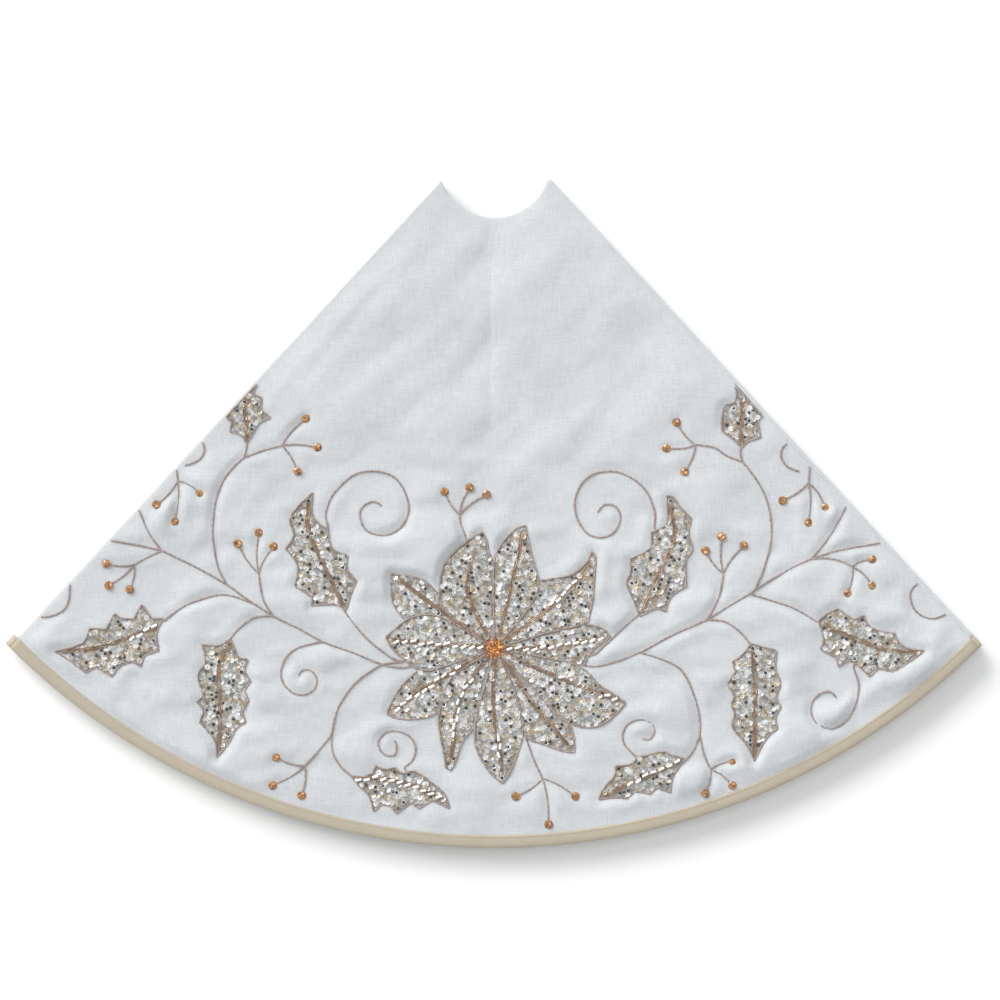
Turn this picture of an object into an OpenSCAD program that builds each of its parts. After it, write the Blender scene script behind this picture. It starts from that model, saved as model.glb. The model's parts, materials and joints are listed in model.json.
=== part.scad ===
// Tree skirt, folded into quarters.
//
// Four lined quarters hang together along three fold lines, like an accordion: the quarters lie
// on each other, and each opens half a turn from the one above it. Laid open they make the round
// skirt, with one slit. The origin is the centre of the neck arc, on the outer face of the lowest
// quarter's cloth. +Z is up and -Y runs from the neck to the middle of the hem.

/* [Outline] */
// Radius of the hem, from the centre of the neck arc
hem_r = 687; // [560:1:760]
// Radius of the neck arc
neck_r = 56.5; // [54:0.5:62]
// Half the width between the two points of the neck
neck_half = 53; // [50:0.5:53.5]
// Half the angle between the two fold edges of a quarter
half_angle = 42.8; // [42:0.1:44]

/* [Cloth] */
// Thickness of the lining
lining_t = 0.8; // [0.5:0.1:1]
// Thickness of the interlining
interlining_t = 1.6; // [1:0.1:2]
// Thickness of the embroidered face cloth
face_t = 1; // [0.6:0.1:1.4]
// Space between two quarters that lie back to back
back_gap = 3; // [3:0.5:5]
// Space between two quarters that lie face to face
face_gap = 9; // [8:0.5:14]

/* [Hem and slit] */
// Width of the hem binding
binding_w = 12; // [8:1:16]
// Thickness of the binding's tape
binding_t = 0.5; // [0.4:0.1:0.7]
// Width of the facing along each slit edge
facing_w = 30; // [26:1:40]
// Thickness of the facing
facing_t = 0.6; // [0.4:0.1:0.7]
// Side of a hook-and-loop patch
patch_w = 18; // [14:1:18]
// Thickness of a hook-and-loop patch
patch_t = 1.2; // [0.8:0.1:1.4]

/* [Embroidery] */
// Thickness of a sequinned petal or leaf
pad_t = 1.2; // [0.8:0.1:1.4]
// Width of the bead rib on a petal or leaf
rib_w = 3; // [2:0.5:4]
// Height of the bead rib
rib_h = 1; // [0.6:0.1:1.4]
// Width of a couched cord
cord_w = 2; // [1.4:0.1:2.4]
// Height of a couched cord
cord_h = 1.8; // [1:0.1:2]
// Radius of a berry bead
berry_r = 4.5; // [3.5:0.1:5]
// Height of a berry bead
berry_h = 3.2; // [2.8:0.1:3.4]
// Radius of one bead of the flower's centre
centre_bead_r = 2.8; // [2:0.1:2.9]

/* [Hidden] */
QUARTERS = [1, 2, 3, 4];
PIECES = ["face_cloth", "interlining", "lining", "hem_binding", "petals", "petal_ribs",
    "flower_centre", "holly_leaves", "leaf_ribs", "vine_cords", "berry_twigs", "berries"];
$fn = 96;

cloth_t = lining_t + interlining_t + face_t;
cloth_r = hem_r - binding_t;
neck_corner = [neck_half, -sqrt(neck_r * neck_r - neck_half * neck_half)];
apex_y = neck_corner[1] + neck_half / tan(half_angle);
fold_dir = [sin(half_angle), -cos(half_angle)];
fold_out = [cos(half_angle), sin(half_angle)];
// How far the fold line runs from the neck's corner to the hem
fold_reach = -neck_corner * fold_dir
    + sqrt(pow(neck_corner * fold_dir, 2) + hem_r * hem_r - neck_r * neck_r);
hinge_out = 0.5; // from a quarter's edge out to the fold's axis

// Height of each quarter's lining face, which is its local z = 0
base_z = [
    2 * cloth_t + back_gap + face_gap + cloth_t + back_gap,
    2 * cloth_t + back_gap + face_gap + cloth_t,
    cloth_t + back_gap,
    cloth_t
];

// The flower: its centre, and the outline of each petal from its tip round, the front ones first
flower = [0, -487];
petals = [
    [[-109, -476], [-98, -466], [-85, -457], [-64, -453], [-40, -462], flower, [-48, -504], [-66, -509],
        [-82, -505], [-91, -497], [-101, -489]],
    [[31, -364], [22, -367], [13, -375], [6, -384], [1, -394], [-1, -410], [-1, -430], flower, [28, -455],
        [42, -432], [44, -420], [41, -408], [36, -390], [33, -375]],
    [[97, -390], [94, -398], [86, -407], [75, -414], [60, -417], [44, -419], flower, [50, -472],
        [80, -465], [94, -460], [98, -437], [100, -415], [101, -396]],
    [[8, -622], [-3, -613], [-11, -602], [-18, -588], [-20, -574], [-18, -555], [-10, -525], flower,
        [16, -520], [25, -545], [28, -565], [27, -580], [20, -600], [14, -613]],
    [[-44, -609], [-49, -606], [-51, -591], [-55, -571], [-56, -557], [-52, -538], [-42, -515], flower,
        [-12, -550], [-22, -568], [-31, -578], [-36, -590], [-40, -603]],
    [[131, -541], [118, -532], [104, -523], [92, -510], [70, -500], flower, [40, -528], [62, -553],
        [78, -563], [94, -566], [107, -563], [119, -555]],
    [[-12, -371], [-22, -376], [-32, -383], [-42, -392], [-50, -403], [-54, -417], [-55, -432],
        [-52, -447], flower, [0, -430], [-2, -400], [-6, -390], [-8, -378]],
    [[-108, -552], [-100, -535], [-90, -521], [-79, -511], [-60, -502], flower, [-40, -540], [-54, -549],
        [-66, -555], [-82, -558], [-98, -557]],
    [[80, -591], [70, -590], [50, -583], [35, -578], [20, -560], flower, [50, -525], [66, -545],
        [74, -560], [79, -577]],
    [[116, -475], [109, -468], [98, -464], [80, -462], [50, -468], flower, [50, -500], [78, -504],
        [90, -503], [93, -496], [99, -488], [108, -481]],
    [[-103, -413], [-82, -415], [-68, -421], [-50, -440], flower, [-70, -470], [-90, -458], [-98, -448],
        [-103, -435]]
];
// The rib of each petal, in the same order
petal_rib_lines = [
    [[-14, -485], [-60, -483], [-98, -479]],
    [[5, -472], [16, -430], [27, -376]],
    [[13, -477], [50, -450], [84, -418], [95, -402]],
    [[0, -502], [-1, -545], [4, -580], [7, -610]],
    [[-9, -499], [-33, -535], [-40, -570], [-43, -598]],
    [[14, -493], [60, -514], [120, -538]],
    [[-7, -474], [-27, -430], [-20, -390]],
    [[-14, -495], [-60, -521], [-98, -547]],
    [[9, -498], [40, -544], [73, -583]],
    [[15, -486], [60, -486], [106, -476]],
    [[-12, -478], [-58, -446], [-93, -420]]
];
heart_r = 10; // bare circle at the flower's centre, for its beads
petal_gap = 0.6;

// Outlines of the holly leaves from the stem round, points and the hollows between them
leaves = [
    // left: above, beside and below the stems, by the hem, and across the fold edge
    [[-149, -449], [-159, -443], [-183, -444], [-182, -436], [-200, -424], [-197, -404], [-209, -387],
        [-201, -374], [-205, -358], [-196, -344], [-182, -331], [-183, -351], [-176, -362], [-167, -367],
        [-165, -381], [-160, -389], [-147, -394], [-148, -407], [-138, -419], [-144, -433]],
    [[-332, -457], [-343, -457], [-353, -443], [-361, -457], [-372, -457], [-380, -452], [-389, -468],
        [-405, -467], [-413, -482], [-440, -490], [-425, -499], [-409, -511], [-399, -505], [-383, -515],
        [-375, -505], [-362, -500], [-354, -505], [-350, -494], [-336, -489], [-338, -472]],
    [[-264, -477], [-276, -484], [-293, -483], [-289, -500], [-297, -514], [-291, -534], [-298, -540],
        [-291, -549], [-295, -561], [-280, -579], [-278, -596], [-265, -580], [-258, -567], [-249, -561],
        [-253, -550], [-246, -539], [-250, -529], [-244, -520], [-250, -509], [-247, -498], [-257, -496],
        [-261, -485]],
    [[-144, -614], [-134, -616], [-122, -612], [-119, -604], [-110, -608], [-100, -606], [-92, -612],
        [-80, -610], [-62, -622], [-50, -633], [-45, -647], [-62, -639], [-76, -647], [-83, -641],
        [-99, -652], [-104, -645], [-113, -643], [-121, -650], [-126, -634], [-136, -624]],
    [[-248, -281], [-254, -273], [-265, -270], [-263, -261], [-270, -254], [-275, -235], [-243, -200],
        [-238, -222], [-242, -232], [-233, -236], [-234, -248], [-224, -256], [-236, -262], [-242, -272]],
    // the same on the right
    [[145, -455], [140, -441], [132, -422], [136, -411], [136, -397], [146, -393], [157, -386],
        [157, -371], [168, -366], [173, -358], [172, -334], [179, -336], [186, -346], [197, -357],
        [194, -371], [198, -388], [191, -400], [192, -425], [181, -431], [174, -440], [171, -450],
        [161, -447]],
    [[324, -459], [333, -452], [343, -447], [359, -458], [370, -454], [374, -464], [384, -469],
        [400, -472], [404, -480], [414, -487], [430, -489], [410, -504], [399, -510], [384, -507],
        [375, -515], [362, -502], [353, -499], [344, -505], [342, -496], [326, -488], [329, -477]],
    [[257, -482], [246, -495], [238, -500], [241, -510], [233, -522], [240, -535], [237, -543],
        [240, -553], [238, -566], [251, -582], [260, -600], [267, -585], [274, -575], [283, -567],
        [281, -556], [286, -545], [282, -536], [286, -522], [281, -507], [282, -489], [271, -486]],
    [[190, -597], [175, -593], [169, -590], [152, -594], [143, -595], [139, -601], [131, -604],
        [121, -604], [120, -614], [109, -627], [104, -638], [117, -636], [133, -637], [140, -630],
        [156, -632], [162, -626], [176, -631], [178, -618], [181, -610]],
    [[247, -286], [238, -277], [228, -270], [227, -260], [230, -244], [240, -241], [242, -232],
        [239, -220], [250, -205], [280, -240], [270, -253], [263, -259], [266, -276], [254, -280]]
];
// The rib of each leaf, in the same order
leaf_rib_lines = [
    [[-153, -441], [-170, -405], [-186, -370], [-186, -342]],
    [[-340, -466], [-365, -476], [-395, -486], [-428, -490]],
    [[-266, -484], [-276, -510], [-274, -545], [-276, -585]],
    [[-136, -617], [-110, -618], [-80, -624], [-56, -636]],
    [[-248, -276], [-248, -262], [-250, -250], [-247, -238]],
    [[149, -447], [163, -415], [179, -380], [177, -345]],
    [[332, -464], [360, -477], [390, -488], [420, -491]],
    [[258, -489], [261, -520], [261, -555], [260, -590]],
    [[183, -601], [160, -611], [135, -622], [112, -633]],
    [[247, -280], [246, -265], [248, -250], [247, -240]]
];

// The couched vines, each from the thing it grows from
vines = [
    // left stems
    [[-92, -506], [-112, -503], [-142, -491], [-172, -480], [-196, -467], [-222, -454], [-250, -436],
        [-268, -423], [-300, -405], [-333, -389]],
    [[-333, -389], [-345, -373], [-354, -353], [-362, -335]],
    [[-333, -389], [-355, -384], [-378, -380], [-400, -376]],
    [[-333, -389], [-348, -396], [-361, -403]],
    [[-268, -423], [-277, -405], [-282, -375], [-280, -345], [-273, -322], [-262, -306], [-251, -296]],
    [[-251, -296], [-249, -290], [-248, -283]],
    [[-251, -296], [-232, -289], [-213, -284]],
    [[-97, -499], [-112, -490], [-130, -475], [-150, -450]],
    [[-240, -443], [-270, -433], [-300, -440], [-316, -448], [-331, -459]],
    [[-222, -454], [-240, -456], [-255, -466], [-264, -477]],
    [[-112, -503], [-123, -509], [-138, -520], [-150, -535], [-158, -550], [-163, -572], [-162, -590],
        [-155, -604], [-144, -614]],
    [[-163, -573], [-175, -588], [-190, -604]],
    [[-222, -454], [-232, -437], [-236, -412]],
    [[-317, -296], [-318, -308], [-317, -319]],
    // left curls
    [[-167, -364], [-169, -352], [-163, -335], [-150, -320], [-135, -311], [-115, -310], [-100, -316],
        [-90, -330], [-86, -347], [-91, -362], [-103, -372], [-118, -373], [-130, -367], [-135, -353],
        [-131, -344], [-121, -340], [-113, -344]],
    [[-172, -480], [-186, -483], [-200, -488], [-210, -498], [-214, -512], [-210, -524], [-200, -532],
        [-189, -533], [-180, -527], [-178, -517], [-184, -509], [-193, -509], [-196, -515]],
    [[-90, -606], [-83, -600], [-79, -588], [-84, -576], [-96, -570], [-108, -571], [-116, -579],
        [-115, -588], [-108, -594], [-100, -593], [-98, -586], [-100, -579]],
    [[-298, -272], [-292, -281], [-291, -291], [-297, -299], [-310, -304]],
    [[-422, -410], [-425, -425], [-426, -438], [-432, -449], [-446, -455], [-460, -455]],
    // above and below the flower
    [[-30, -372], [-34, -363], [-35, -353]],
    [[34, -584], [40, -600], [48, -617]],
    // right stems
    [[98, -505], [118, -501], [145, -491], [175, -475], [212, -458], [232, -446], [255, -432],
        [275, -419], [300, -405], [317, -397]],
    [[317, -397], [335, -375], [347, -354], [355, -335]],
    [[317, -397], [340, -390], [370, -384], [405, -378]],
    [[317, -397], [335, -397], [348, -400], [358, -405]],
    [[260, -429], [270, -405], [277, -375], [274, -345], [266, -325], [256, -310], [248, -300]],
    [[248, -300], [246, -294], [246, -288]],
    [[248, -300], [232, -294], [220, -286], [201, -283]],
    [[97, -494], [110, -484], [125, -470], [145, -452]],
    [[255, -432], [280, -440], [300, -447], [324, -461]],
    [[212, -458], [230, -460], [245, -470], [257, -484]],
    [[145, -491], [165, -497], [185, -507], [196, -525], [204, -550], [205, -572], [199, -589],
        [189, -600]],
    [[205, -572], [209, -592], [216, -608]],
    [[212, -458], [224, -437], [229, -412]],
    [[314, -296], [315, -308], [314, -321]],
    // right curls
    [[160, -366], [160, -350], [152, -330], [138, -317], [120, -310], [100, -312], [87, -322],
        [80, -340], [83, -358], [93, -372], [107, -376], [120, -370], [126, -356], [121, -345],
        [110, -343], [103, -351]],
    [[138, -592], [130, -583], [128, -573], [133, -563], [145, -558], [157, -562], [160, -570],
        [155, -578], [148, -577]],
    [[359, -506], [364, -522], [362, -540], [353, -558], [340, -567], [327, -565], [318, -556],
        [317, -543], [324, -533], [335, -530], [342, -536]],
    [[303, -281], [294, -281], [287, -288], [287, -297], [293, -305], [305, -310]],
    [[436, -414], [426, -420], [417, -428], [416, -438], [420, -448], [429, -455], [440, -457],
        [452, -452], [462, -444]]
];
// Sprays of berries as [fork, berries]
sprays = [
    [[-213, -284], [[-189, -257], [-177, -286], [-197, -310]]],
    [[-236, -412], [[-257, -382], [-236, -371], [-221, -385]]],
    [[-317, -319], [[-338, -343], [-320, -360], [-295, -332]]],
    [[-361, -403], [[-389, -402], [-386, -424], [-365, -428]]],
    [[-190, -604], [[-219, -596], [-222, -624], [-193, -634]]],
    [[-35, -353], [[-50, -330], [-25, -326], [-8, -333]]],
    [[48, -617], [[21, -635], [54, -663], [81, -635]]],
    [[201, -283], [[182, -261], [172, -287], [190, -310]]],
    [[229, -412], [[227, -375], [211, -389], [249, -384]]],
    [[314, -321], [[288, -339], [314, -361], [331, -346]]],
    [[358, -405], [[378, -398], [378, -424], [353, -432]]],
    [[216, -608], [[239, -600], [238, -624], [211, -632]]]
];
branch_gap = 7;  // bare length left where a cord grows out of another
end_gap = 3;     // bare length left where a cord meets a leaf or a fork
twig_gap = 4.6;  // bare length left between a fork and each twig
twig_bow = 2;    // how far a twig bows sideways
edge_gap = 2;    // kept clear between the embroidery and a fold edge
patch_places = [60, 220, 600]; // along a slit edge, from the neck
patch_inset = facing_w / 2;

// ---- curves and outlines ----

function unit(v) = v / norm(v);
function left_of(v) = [-v[1], v[0]];

// A point on the Catmull-Rom curve through b and c
function curve_point(a, b, c, d, t) =
    (2 * b + (c - a) * t + (2 * a - 5 * b + 4 * c - d) * t * t + (3 * b - a - 3 * c + d) * t * t * t) / 2;
function curve(p, steps = 3) = let (last = len(p) - 1) concat(
    [for (i = [0:last - 1], k = [0:steps - 1])
        curve_point(p[max(i - 1, 0)], p[i], p[i + 1], p[min(i + 2, last)], k / steps)],
    [p[last]]
);
// Drops the points of a path that lie too near its two ends, or a quarter of it at each end if it is short
function trimmed(path, at_start, at_end) = let (
    last = len(path) - 1,
    most = norm(path[last] - path[0]) < 2 * (at_start + at_end) ? norm(path[last] - path[0]) / 4 : at_start
) [
    for (p = path)
        if (norm(p - path[0]) >= min(at_start, most) && norm(p - path[last]) >= min(at_end, most)) p
];
// How far a point lies inside the nearer fold edge
function inside_fold(p) = min(
    (neck_corner - p) * fold_out,
    (neck_corner - [-p[0], p[1]]) * fold_out
);
function kept_inside(path, gap) = [for (p = path) if (inside_fold(p) > gap) p];

function path_dir(p, i) = unit(p[min(i + 1, len(p) - 1)] - p[max(i - 1, 0)]);
// The outline of a band that follows a path
function band(path, width) = let (last = len(path) - 1) concat(
    [for (i = [0:last]) path[i] + left_of(path_dir(path, i)) * width / 2],
    [for (i = [last:-1:0]) path[i] - left_of(path_dir(path, i)) * width / 2]
);

// A point on the line from base to tip, which bows sideways by bow at its middle
function midline(base, tip, bow, t) =
    base + (tip - base) * t + left_of(unit(tip - base)) * bow * 4 * t * (1 - t);
// Twice the area inside an outline, negative if it runs clockwise
function area_twice(outline) = let (n = len(outline))
    [for (i = [0:n - 1]) cross(outline[i], outline[(i + 1) % n])] * [for (p = outline) 1];
// An outline moved outwards
function grown(outline, gap) = let (n = len(outline), out = gap * sign(area_twice(outline))) [
    for (i = [0:n - 1]) outline[i] - left_of(unit(outline[(i + 1) % n] - outline[(i + n - 1) % n])) * out
];

// ---- flat shapes ----

module quarter_shape(outer_r) {
    difference() {
        intersection() {
            circle(outer_r, $fn = 180);
            polygon([[0, apex_y], [0, apex_y] + 2 * hem_r * fold_dir,
                [0, apex_y] + 2 * hem_r * [-fold_dir[0], fold_dir[1]]]);
        }
        circle(neck_r);
    }
}

module vine_shape(path) {
    kept = kept_inside(path, edge_gap + cord_w / 2);
    if (len(kept) > 1) polygon(band(kept, cord_w));
}

// Strip along the right fold edge, from_edge to to_edge inside it
module edge_strip(from_edge, to_edge) {
    start = neck_corner - fold_dir * neck_r;
    end = neck_corner + fold_dir * fold_reach;
    polygon([start - fold_out * from_edge, end - fold_out * from_edge,
        end - fold_out * to_edge, start - fold_out * to_edge]);
}

module slab(z, height) {
    translate([0, 0, z]) linear_extrude(height) children();
}

// ---- one quarter, lining face at z = 0 and embroidered face up ----

module lining() {
    color("whitesmoke") slab(0, lining_t) quarter_shape(cloth_r);
}

module interlining() {
    color("white") slab(lining_t, interlining_t) quarter_shape(cloth_r);
}

module face_cloth() {
    color("aliceblue") slab(lining_t + interlining_t, face_t) quarter_shape(cloth_r);
}

// Tape folded over the hem, cut square to the fold edges
module hem_binding() {
    color("tan") intersection() {
        rotate_extrude($fn = 180) polygon([
            [hem_r - binding_w, -binding_t], [hem_r, -binding_t],
            [hem_r, cloth_t + binding_t], [hem_r - binding_w, cloth_t + binding_t],
            [hem_r - binding_w, cloth_t], [cloth_r, cloth_t], [cloth_r, 0], [hem_r - binding_w, 0]
        ]);
        slab(-cloth_t, 3 * cloth_t) quarter_shape(2 * hem_r);
    }
}

// Sequinned petals, each cut back where the ones in front of it lie
module petals() {
    for (i = [0:len(petals) - 1])
        color("silver") slab(cloth_t, pad_t) difference() {
            polygon(petals[i]);
            if (i > 0) for (k = [0:i - 1]) polygon(grown(petals[k], petal_gap));
            translate(flower) circle(heart_r);
        }
}

module petal_ribs() {
    for (line = petal_rib_lines)
        color("peru") slab(cloth_t + pad_t, rib_h) polygon(band(curve(line), rib_w));
}

// A centre bead with six round it
module flower_centre() {
    ring_r = 2 * centre_bead_r + 0.3;
    color("darkorange") translate([flower[0], flower[1], cloth_t]) {
        cylinder(r = centre_bead_r, h = berry_h, $fn = 32);
        for (a = [0:60:300])
            rotate(a) translate([ring_r, 0]) cylinder(r = centre_bead_r, h = berry_h - 0.6, $fn = 32);
    }
}

module holly_leaves() {
    for (leaf = leaves)
        color("silver") slab(cloth_t, pad_t) intersection() {
            polygon(leaf);
            translate([0, -edge_gap / sin(half_angle)]) quarter_shape(hem_r);
        }
}

module leaf_ribs() {
    for (line = leaf_rib_lines)
        color("peru") slab(cloth_t + pad_t, rib_h)
            polygon(band(kept_inside(curve(line), edge_gap + rib_w), rib_w));
}

module vine_cords() {
    for (vine = vines)
        color("rosybrown") slab(cloth_t, cord_h) vine_shape(trimmed(curve(vine), branch_gap, end_gap));
}

module berry_twigs() {
    for (spray = sprays, berry = spray[1]) {
        bowed = [for (t = [0:0.2:1]) midline(spray[0], berry, twig_bow, t)];
        start = bowed[0] + unit(bowed[1] - bowed[0]) * twig_gap;
        end = berry - unit(berry - bowed[4]) * (berry_r + 0.4);
        color("rosybrown") slab(cloth_t, cord_h)
            polygon(band([start, bowed[2], bowed[3], end], cord_w));
    }
}

module berries() {
    for (spray = sprays, berry = spray[1])
        color("goldenrod") translate([berry[0], berry[1], cloth_t])
            cylinder(r1 = berry_r, r2 = berry_r * 0.65, h = berry_h, $fn = 32);
}

module slit_facing() {
    color("whitesmoke") slab(-facing_t, facing_t) intersection() {
        quarter_shape(hem_r - binding_w - 1);
        edge_strip(0, facing_w);
    }
}

// Square patches along the slit edge, lying from z up
module patches(z) {
    for (place = patch_places)
        color("ivory") slab(z, patch_t)
            translate(neck_corner + fold_dir * place - fold_out * patch_inset)
                rotate(half_angle) square(patch_w, center = true);
}

// ---- the folded stack ----

// Quarters 2 and 4 lie face down
module in_quarter(quarter) {
    translate([0, 0, base_z[quarter - 1]])
        rotate([0, quarter % 2 == 0 ? 180 : 0, 0]) children();
}

// The cloth that bends round a fold on the right edge
module fold_bend(z, gap) {
    inner = gap / 2;
    outer = inner + cloth_t;
    translate([neck_corner[0], neck_corner[1], z]) rotate([0, 0, half_angle]) rotate([90, 0, 0])
        color("aliceblue") linear_extrude(fold_reach) difference() {
            union() {
                intersection() {
                    translate([hinge_out, 0]) circle(outer);
                    translate([hinge_out, -outer]) square([outer, 2 * outer]);
                }
                translate([0, -outer]) square([hinge_out, 2 * outer]);
            }
            translate([hinge_out, 0]) circle(inner);
            translate([-1, -inner]) square([1 + hinge_out, gap]);
        }
}

for (quarter = QUARTERS) {
    in_quarter(quarter) face_cloth();
    in_quarter(quarter) interlining();
    in_quarter(quarter) lining();
    in_quarter(quarter) hem_binding();
    in_quarter(quarter) petals();
    in_quarter(quarter) petal_ribs();
    in_quarter(quarter) flower_centre();
    in_quarter(quarter) holly_leaves();
    in_quarter(quarter) leaf_ribs();
    in_quarter(quarter) vine_cords();
    in_quarter(quarter) berry_twigs();
    in_quarter(quarter) berries();
}
fold_bend(base_z[1] + back_gap / 2, back_gap);  // fold_1_2
mirror([1, 0, 0]) fold_bend(base_z[2] + cloth_t + face_gap / 2, face_gap);  // fold_2_3
fold_bend(base_z[3] + back_gap / 2, back_gap);  // fold_3_4
in_quarter(1) mirror([1, 0, 0]) slit_facing();  // slit_facing_1
in_quarter(4) slit_facing();  // slit_facing_4
in_quarter(1) mirror([1, 0, 0]) patches(-facing_t - patch_t);  // hook_patches_1
in_quarter(4) patches(cloth_t);  // loop_patches_4
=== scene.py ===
"""The looks of a tree skirt that is folded into quarters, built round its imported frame.

The four quarters are alike, so each piece is made once, in the frame of one quarter: its lining
faces down at z = 0 and its embroidered face is up. place() then puts it in each quarter.
"""

import json
import math
import random

import bmesh
import bpy
import numpy as np
from mathutils import Matrix, Vector, kdtree, noise


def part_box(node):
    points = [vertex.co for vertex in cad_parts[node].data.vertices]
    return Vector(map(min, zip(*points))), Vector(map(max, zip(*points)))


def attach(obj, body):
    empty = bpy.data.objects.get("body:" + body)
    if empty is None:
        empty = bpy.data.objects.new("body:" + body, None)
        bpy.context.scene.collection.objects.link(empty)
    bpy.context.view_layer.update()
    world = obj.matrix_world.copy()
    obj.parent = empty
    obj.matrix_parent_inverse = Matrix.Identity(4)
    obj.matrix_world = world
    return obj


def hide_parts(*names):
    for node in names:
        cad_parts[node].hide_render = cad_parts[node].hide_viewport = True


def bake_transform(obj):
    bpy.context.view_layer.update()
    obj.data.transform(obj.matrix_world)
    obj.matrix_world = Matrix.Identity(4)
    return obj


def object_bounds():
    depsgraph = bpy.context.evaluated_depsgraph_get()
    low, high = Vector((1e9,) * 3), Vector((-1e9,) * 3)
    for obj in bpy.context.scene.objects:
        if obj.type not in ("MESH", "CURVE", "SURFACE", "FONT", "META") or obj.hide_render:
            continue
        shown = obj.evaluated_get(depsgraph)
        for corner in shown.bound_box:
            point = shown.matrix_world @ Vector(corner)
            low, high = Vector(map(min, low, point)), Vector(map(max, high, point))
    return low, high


MM = 0.001
QUARTERS = (1, 2, 3, 4)
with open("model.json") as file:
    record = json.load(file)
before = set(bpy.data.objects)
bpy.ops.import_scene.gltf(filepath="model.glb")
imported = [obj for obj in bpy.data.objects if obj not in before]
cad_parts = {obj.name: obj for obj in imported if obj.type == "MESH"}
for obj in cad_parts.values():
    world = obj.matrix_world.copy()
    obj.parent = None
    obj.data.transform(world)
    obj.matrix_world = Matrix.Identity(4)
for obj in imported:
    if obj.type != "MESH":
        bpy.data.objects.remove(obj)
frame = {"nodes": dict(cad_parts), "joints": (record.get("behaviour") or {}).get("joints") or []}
cad_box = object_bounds()
random.seed(56)
rng = np.random.default_rng(56)


# ---- what the frame says ----


def points_of(node):
    mesh = frame["nodes"][node].data
    co = np.empty(len(mesh.vertices) * 3)
    mesh.vertices.foreach_get("co", co)
    return co.reshape(-1, 3)


def base_height(quarter):
    """Height of a quarter's lining face; quarters 2 and 4 lie face down."""
    low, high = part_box(f"lining_{quarter}")
    return low.z if quarter % 2 else high.z


def level(node):
    """Top of a node of quarter 1, above that quarter's lining face."""
    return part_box(node)[1].z - base_height(1)


def angle_of(points):
    """Angle from -Y of the point furthest to the right."""
    x, y = max(points.tolist())
    return math.atan2(x, -y)


LINING_TOP = level("lining_1")
FELT_TOP = level("interlining_1")
CLOTH_TOP = level("face_cloth_1")
cloth_points = points_of("lining_1")[:, :2]
hem_points = points_of("hem_binding_1")[:, :2]
cloth_radii, hem_radii = np.hypot(*cloth_points.T), np.hypot(*hem_points.T)
NECK_R, CUT_R = cloth_radii.min(), cloth_radii.max()  # the cloth is cut here, inside the tape
TAPE_R, HEM_R = hem_radii.min(), hem_radii.max()
TAPE_W = HEM_R - TAPE_R


def at_angle(radius, angle):
    return np.array([radius * math.sin(angle), -radius * math.cos(angle)])


NECK_ANGLE = angle_of(cloth_points[cloth_radii < NECK_R + 0.01 * MM])
NECK_CORNER = at_angle(NECK_R, NECK_ANGLE)
HEM_CORNER = at_angle(HEM_R, angle_of(hem_points[hem_radii > HEM_R - 0.01 * MM]))
FOLD_LENGTH = np.linalg.norm(HEM_CORNER - NECK_CORNER)
FOLD_ALONG = (HEM_CORNER - NECK_CORNER) / FOLD_LENGTH
FOLD_OUT = np.array([-FOLD_ALONG[1], FOLD_ALONG[0]])


def fold_angle(radius):
    """Angle from -Y at which the right fold edge crosses a radius."""
    along = NECK_CORNER @ FOLD_ALONG
    run = math.sqrt(along**2 + radius**2 - NECK_R**2) - along
    x, y = NECK_CORNER + FOLD_ALONG * run
    return math.atan2(x, -y)


TAPE_ANGLE = fold_angle(TAPE_R)


def solid_outlines(node):
    """The outline of each flat-topped solid in a node, anticlockwise."""
    bm = bmesh.new()
    bm.from_mesh(frame["nodes"][node].data)
    bmesh.ops.remove_doubles(bm, verts=bm.verts, dist=0.01 * MM)
    bm.normal_update()
    bm.verts.index_update()
    corners = {v.index: v.co.xy.copy() for v in bm.verts}
    directed = {
        (loop.vert.index, loop.link_loop_next.vert.index)
        for face in bm.faces
        if face.normal.z > 0.9
        for loop in face.loops
    }
    bm.free()
    follow = {a: b for a, b in sorted(directed) if (b, a) not in directed}
    found = []
    while follow:
        start = next(iter(follow))
        chain, at = [start], follow.pop(start)
        while at != start:
            chain.append(at)
            at = follow.pop(at)
        found.append(np.array([corners[i] for i in chain]))
    return found


def middle_line(outline):
    """The line along the middle of a ribbon, whose outline runs up one side and down the other."""
    count = len(outline) // 2
    steps = np.arange(count)

    def sides(first):
        return outline[(first + steps) % len(outline)], outline[(first - 1 - steps) % len(outline)]

    def unevenness(first):
        left, right = sides(first)
        return np.linalg.norm(left - right, axis=1).std()

    left, right = sides(min(range(count), key=unevenness))
    return (left + right) / 2


# ---- lines and outlines ----


def turn_at(points, i):
    """How far a closed outline turns at a point, in degrees."""
    before = points[i] - points[i - 1]
    after = points[(i + 1) % len(points)] - points[i]
    turn = math.atan2(before[0] * after[1] - before[1] * after[0], before @ after)
    return abs(math.degrees(turn))


def curve_through(a, b, c, d, steps):
    """Catmull-Rom points from b up to c, without c."""
    t = (np.arange(steps) / steps)[:, None]
    return (
        2 * b + (c - a) * t + (2 * a - 5 * b + 4 * c - d) * t**2 + (3 * b - a - 3 * c + d) * t**3
    ) / 2


def smooth_outline(points, corner=48, steps=4):
    """A closed outline with its shallow turns rounded and its sharp points kept."""
    n = len(points)
    sharp = [turn_at(points, i) > corner for i in range(n)]
    parts = []
    for i in range(n):
        b, c = points[i], points[(i + 1) % n]
        a = b if sharp[i] else points[i - 1]
        d = c if sharp[(i + 1) % n] else points[(i + 2) % n]
        parts.append(curve_through(a, b, c, d, steps))
    return np.concatenate(parts)


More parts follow.
